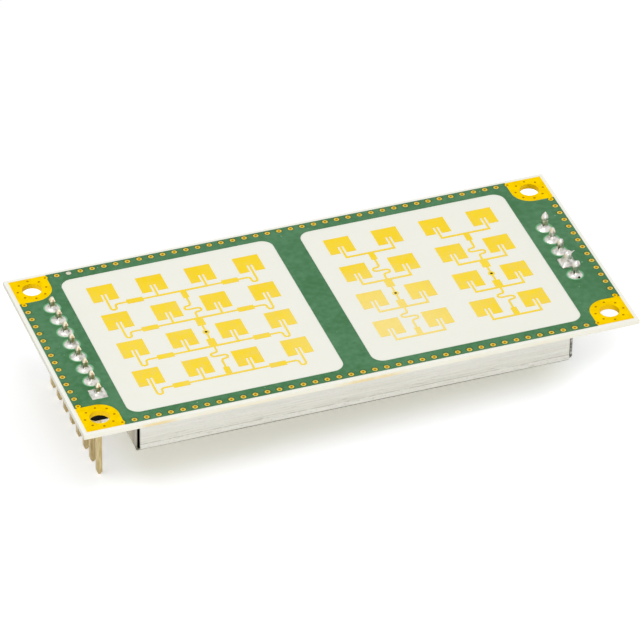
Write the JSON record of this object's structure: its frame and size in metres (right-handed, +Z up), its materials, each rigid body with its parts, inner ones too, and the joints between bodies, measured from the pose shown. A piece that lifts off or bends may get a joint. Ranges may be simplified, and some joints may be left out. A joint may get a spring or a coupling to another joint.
{
  "type": "microwave radar sensor module",
  "caption": "Flat rectangular microwave radar board with gold patch antennas on top, a folded shield can below and two rows of header pins, for sensing motion.",
  "frame": {"origin": "under the board's centre, at the level of the longer header pins' tips", "axes": "+X along the board towards the shorter header, +Y across the board, +Z up out of the antenna side"},
  "size_m": [0.07, 0.032, 0.0144],
  "materials": {
    "laminate": "cream microwave laminate, matt",
    "gold_plating": "thin copper with immersion gold, smooth",
    "solder_mask": "green solder resist, satin",
    "can_steel": "tinned steel sheet, brushed along its length",
    "header_plastic": "black moulded nylon",
    "pin_brass": "pale gold flash over brass",
    "solder": "bright tin solder, slightly uneven",
    "chip_plastic": "black moulding compound",
    "crystal_case": "plated steel lid",
    "capacitor_body": "yellow moulded resin",
    "small_capacitor_body": "tan ceramic",
    "small_resistor_body": "black glazed ceramic"
  },
  "bodies": {
    "root": {"board_laminate": "laminate", "ground_copper": "gold_plating", "solder_mask": "solder_mask", "transmit_patch_array": "gold_plating", "receive_patch_array_a": "gold_plating", "receive_patch_array_b": "gold_plating", "shield_can": "can_steel", "left_header_body": "header_plastic", "right_header_body": "header_plastic", "radar_transceiver": "chip_plastic", "signal_processor": "chip_plastic", "baseband_amplifier": "chip_plastic", "voltage_regulator": "chip_plastic", "clock_crystal": "crystal_case", "storage_capacitor": "capacitor_body", "small_capacitors": "small_capacitor_body", "small_resistors": "small_resistor_body", "left_pin_1": "pin_brass", "left_solder_joint_1": "solder", "left_pin_2": "pin_brass", "left_solder_joint_2": "solder", "left_pin_3": "pin_brass", "left_solder_joint_3": "solder", "left_pin_4": "pin_brass", "left_solder_joint_4": "solder", "left_pin_5": "pin_brass", "left_solder_joint_5": "solder", "left_pin_6": "pin_brass", "left_solder_joint_6": "solder", "left_pin_7": "pin_brass", "left_solder_joint_7": "solder", "left_pin_8": "pin_brass", "left_solder_joint_8": "solder", "right_pin_1": "pin_brass", "right_solder_joint_1": "solder", "right_pin_2": "pin_brass", "right_solder_joint_2": "solder", "right_pin_3": "pin_brass", "right_solder_joint_3": "solder", "right_pin_4": "pin_brass", "right_solder_joint_4": "solder", "right_pin_5": "pin_brass", "right_solder_joint_5": "solder"}
  },
  "joints": []
}
